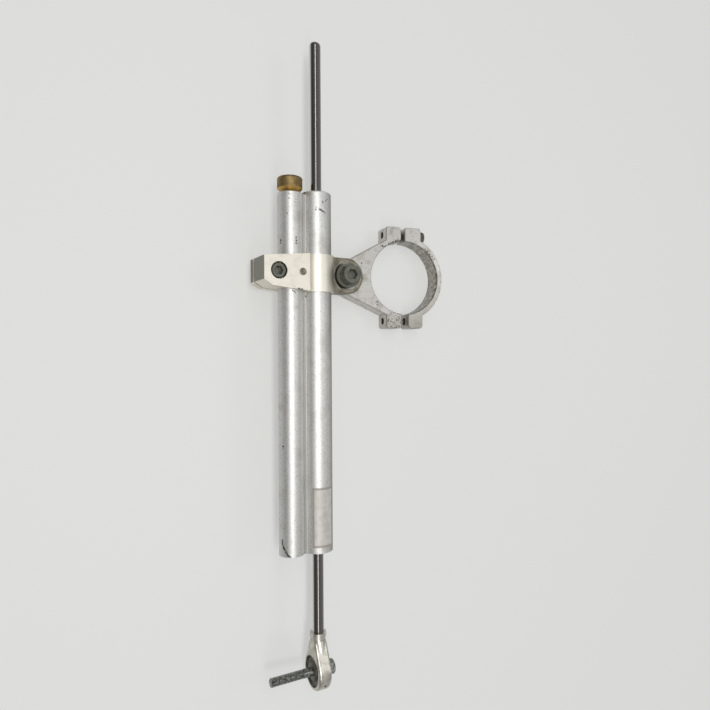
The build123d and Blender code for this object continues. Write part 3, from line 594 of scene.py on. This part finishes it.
def makeKnob():
    k = knob
    play = turning["play"]
    shoulder = k["height"] - k["topRound"]
    rows = [(0, k["stemReach"]), (k["stemRadius"], k["stemReach"]), (k["stemRadius"], 0.0)]
    rows += [(k["radius"] - k["footBevel"], 0.0), (k["radius"], k["footBevel"])]
    rows += steps(k["radius"], k["footBevel"] + play, shoulder, k["rowMm"])
    for i in range(1, k["topRows"] + 1):
        angle = math.pi / 2 * i / k["topRows"]
        inset = k["topRound"] * (1 - math.cos(angle))
        rows.append((k["radius"] - inset, shoulder + k["topRound"] * math.sin(angle)))
    rows += [(k["radius"] * k["topFlat"], k["height"]), (0, k["height"])]
    piece = turnedBlank("adjusterKnob", rows, k["teeth"] * turning["columnsPerTooth"])
    knurl = {"Starts": float(k["teeth"]), "Slant": k["slant"], "Crossed": 1.0, "Depth": k["depth"],
             "Skin Radius": k["radius"] - play / 2, "Low": k["footBevel"] + play * 2, "High": shoulder - play}
    stand = Matrix.Translation((damper["sideTubeX"], k["foot"], 0)) @ Matrix.Rotation(math.radians(-90), 4, "X")
    return finishTurned(piece, [knurl], finishes["knob"], damperSpace @ stand, "adjuster", "adjuster_knob")


# Socket head screws, in mm, each with a knurled head and a rolled thread. They are drawn with the
# head up along Z and its underside at the origin.
screws = {
    "pivotScrew": {
        "node": "pivot_screw", "body": "fork_clamp", "slot": "black_steel", "finish": "black oxide steel",
        "shank": 4.0, "length": 25.0, "plain": 14.0, "thread": 4.0, "pitch": 1.25,
        "head": 6.5, "headHeight": 8.0, "socket": 6.0, "socketDepth": 4.2, "teeth": 48,
    },
    "pinchScrew": {
        "node": "pinch_screw", "body": "damper", "slot": "black_steel", "finish": "black oxide steel",
        "shank": 3.0, "length": 21.5, "plain": 10.0, "thread": 3.0, "pitch": 1.0,
        "head": 5.0, "headHeight": 6.0, "socket": 5.0, "socketDepth": 3.2, "teeth": 40,
    },
    "clampScrew": {
        "node": "clamp_screw", "body": "fork_clamp", "slot": "black_steel", "finish": "black oxide steel",
        "shank": 2.5, "length": 25.0, "plain": 8.0, "thread": 2.5, "pitch": 0.8,
        "head": 4.25, "headHeight": 5.0, "socket": 4.0, "socketDepth": 2.6, "teeth": 36,
    },
    "ballEndScrew": {
        "node": "rod_end_screw", "body": "end_screw", "slot": "black_steel", "finish": "worn dark stud steel",
        "shank": 3.0, "length": 40.0, "plain": 16.0, "thread": 3.0, "pitch": 1.0,
        "head": 5.0, "headHeight": 6.0, "socket": 5.0, "socketDepth": 3.2, "teeth": 40,
    },
}
screwEdges = {"tipBevel": 0.5, "topBevel": 0.5, "underBevel": 0.15, "socketBevel": 0.25,
              "threadDepth": 0.5, "knurlDepth": 0.14}       # the thread's depth is a share of its pitch


def makeScrew(name, space):
    s, e = screws[name], screwEdges
    play = turning["play"]
    tip, top, half = -s["length"], s["headHeight"], s["socket"] / 2
    rows = [(0, tip), (s["thread"] - e["tipBevel"], tip), (s["thread"], tip + e["tipBevel"])]
    rise = s["pitch"] / turning["rowsPerThread"]
    rows += steps(s["thread"], tip + e["tipBevel"] + play, -s["plain"] - play, rise)
    rows += [(s["shank"], -s["plain"]), (s["shank"], 0.0)]
    rows += [(s["head"] - e["underBevel"], 0.0), (s["head"], e["underBevel"])]
    rows += [(s["head"], top - e["topBevel"]), (s["head"] - e["topBevel"], top)]
    rows += [(half + e["socketBevel"], top, "hex"), (half, top - e["socketBevel"], "hex")]
    rows += [(half, top - s["socketDepth"], "hex"), (0, top - s["socketDepth"])]
    piece = turnedBlank(name, rows, s["teeth"] * turning["columnsPerTooth"])
    thread = {"Starts": 1.0, "Slant": 1 / s["pitch"], "Crossed": 0.0, "Depth": s["pitch"] * e["threadDepth"],
              "Skin Radius": s["thread"] - play, "Low": tip + e["tipBevel"], "High": -s["plain"]}
    knurl = {"Starts": float(s["teeth"]), "Slant": 0.0, "Crossed": 0.0, "Depth": e["knurlDepth"],
             "Skin Radius": s["head"] - play, "Low": e["underBevel"] - play,
             "High": top - e["topBevel"] + play * 2}
    return finishTurned(piece, [thread, knurl], finishes[s["finish"]], space, s["body"], s["node"])


quarterTurn = Matrix.Rotation(math.radians(90), 4, "Y")
makeKnob()
makeScrew("pivotScrew", clampSpace @ Matrix.Translation((clamp["pivotX"], clamp["pivotY"], clamp["washerTop"])))
makeScrew("pinchScrew", damperSpace @ Matrix.Translation((damper["pinchX"], 0, damper["pinchSeatZ"])))
makeScrew("clampScrew", clampSpace @ Matrix.Translation((clamp["earRight"], clamp["screwY"], 0)) @ quarterTurn)
makeScrew("ballEndScrew", damperSpace @ Matrix.Translation((damper["eyeSeatX"], damper["eyeY"], 0)) @ quarterTurn)
print("knob and screws turned")


# A plain pale board under the part, level with the fork clamp's back. Its own faint glow keeps the
# shadows as light as in a bright room.
studio = {
    "boardColour": "#8b8b88", "boardRoughness": 0.6, "boardGlow": 0.435, "boardGlowTint": (1.0, 1.0, 0.985, 1.0),
    "boardTop": -7.52, "boardHalfMetres": 2.0,
    "cameraRoll": 0.33, "cameraTilt": 21.0, "cameraBack": 411.0, "cameraRight": 26.75, "cameraUp": -54.8,
    "focalPixels": 600.0, "photoPixels": 710, "sensorMm": 36.0,
    "roomTint": (0.985, 1.0, 1.0), "roomStrength": 1.0, "lampsAim": (-0.06, -0.05, 0.0),
}
lamps = [
    # degrees to the right of the camera, degrees up, distance, width and height in metres, watts
    ("ceiling lamp", 14.0, -1.0, 1.6, 0.20, 0.20, 4.6),
    ("bright strip of ceiling", 13.5, 0.0, 1.3, 0.20, 2.2, 9.0),
    ("lamp on the right", 61.0, 6.0, 1.6, 0.30, 0.30, 2.0),
]
# Brightness of the soft room by the angle across the rod, from the left (-180) to the right (180).
roomLevels = [(-180, 0.50), (-84, 0.55), (-66, 0.34), (-34, 0.18), (-16, 0.40), (20, 0.46), (50, 0.44),
              (111, 0.52), (180, 0.48)]

tilt = math.radians(studio["cameraTilt"])
toCamera = Vector((-math.sin(tilt), 0, math.cos(tilt)))
toRight = Vector((math.cos(tilt), 0, math.sin(tilt)))
upRod = Vector((0, 1, 0))


def layBoard():
    s = studio
    board = bpy.data.meshes.new("board")
    half, height = s["boardHalfMetres"], s["boardTop"] / 1000
    corners = [(-half, -half, height), (half, -half, height), (half, half, height), (-half, half, height)]
    board.from_pydata(corners, [], [(0, 1, 2, 3)])
    floor = bpy.data.objects.new("board", board)
    bpy.context.scene.collection.objects.link(floor)
    material, tree = newFinish("painted board")
    shader = add(tree, "ShaderNodeBsdfPrincipled",
                 {"Base Color": colour(s["boardColour"]), "Roughness": s["boardRoughness"],
                  "Emission Color": s["boardGlowTint"], "Emission Strength": s["boardGlow"]})
    add(tree, "ShaderNodeOutputMaterial", {"Surface": shader})
    board.materials.append(material)


def placeCamera():
    s = studio
    roll = math.radians(s["cameraRoll"])
    right = toRight * math.cos(roll) - upRod * math.sin(roll)
    up = toRight * math.sin(roll) + upRod * math.cos(roll)
    rod = Vector(damper["rodAxis"])
    eye = (rod + right * s["cameraRight"] + up * s["cameraUp"] + toCamera * s["cameraBack"]) / 1000
    camera = bpy.data.objects.new("camera", bpy.data.cameras.new("camera"))
    bpy.context.scene.collection.objects.link(camera)
    camera.matrix_world = Matrix.Translation(eye) @ Matrix((right, up, toCamera)).transposed().to_4x4()
    camera.data.sensor_width = s["sensorMm"]
    camera.data.lens = s["focalPixels"] / s["photoPixels"] * s["sensorMm"]
    camera.data.clip_start = 0.01
    bpy.context.scene.camera = camera


# A soft room whose walls differ in brightness, so that the tubes and the rod show their roundness.
def makeRoom():
    s = studio
    world = bpy.data.worlds.new("soft room")
    bpy.context.scene.world = world
    world.use_nodes = True
    tree = world.node_tree
    tree.nodes.clear()
    ray = add(tree, "ShaderNodeTexCoord").outputs["Generated"]
    across = add(tree, "ShaderNodeVectorMath", {0: ray, 1: toRight}, operation="DOT_PRODUCT").outputs["Value"]
    ahead = add(tree, "ShaderNodeVectorMath", {0: ray, 1: toCamera}, operation="DOT_PRODUCT").outputs["Value"]
    angle = add(tree, "ShaderNodeMath", {0: across, 1: ahead}, operation="ARCTAN2")
    share = add(tree, "ShaderNodeMath", {0: angle, 1: 0.5 / math.pi, 2: 0.5}, operation="MULTIPLY_ADD")
    ramp = add(tree, "ShaderNodeValToRGB", {"Fac": share})
    stops = ramp.color_ramp.elements
    for degrees, brightness in roomLevels[1:-1]:
        stops.new(degrees / 360 + 0.5)
    for stop, (degrees, brightness) in zip(stops, roomLevels):
        stop.position = degrees / 360 + 0.5
        stop.color = tuple(brightness * part for part in s["roomTint"]) + (1.0,)
    room = add(tree, "ShaderNodeBackground", {"Color": ramp, "Strength": s["roomStrength"]})
    add(tree, "ShaderNodeOutputWorld", {"Surface": room})


def hangLamps():
    aim = Vector(studio["lampsAim"])
    for name, acrossDegrees, upDegrees, distance, width, tall, watts in lamps:
        light = bpy.data.lights.new(name, "AREA")
        light.shape = "RECTANGLE"
        light.size, light.size_y = width, tall
        light.energy = watts
        lamp = bpy.data.objects.new(name, light)
        bpy.context.scene.collection.objects.link(lamp)
        across, rise = math.radians(acrossDegrees), math.radians(upDegrees)
        level = toRight * math.sin(across) + toCamera * math.cos(across)
        away = level * math.cos(rise) + upRod * math.sin(rise)
        side = upRod.cross(away).normalized()
        turn = Matrix((side, away.cross(side), away)).transposed().to_4x4()
        lamp.matrix_world = Matrix.Translation(aim + away * distance) @ turn


layBoard()
placeCamera()
makeRoom()
hangLamps()
bpy.context.scene.view_settings.view_transform = "Standard"
print("studio set")
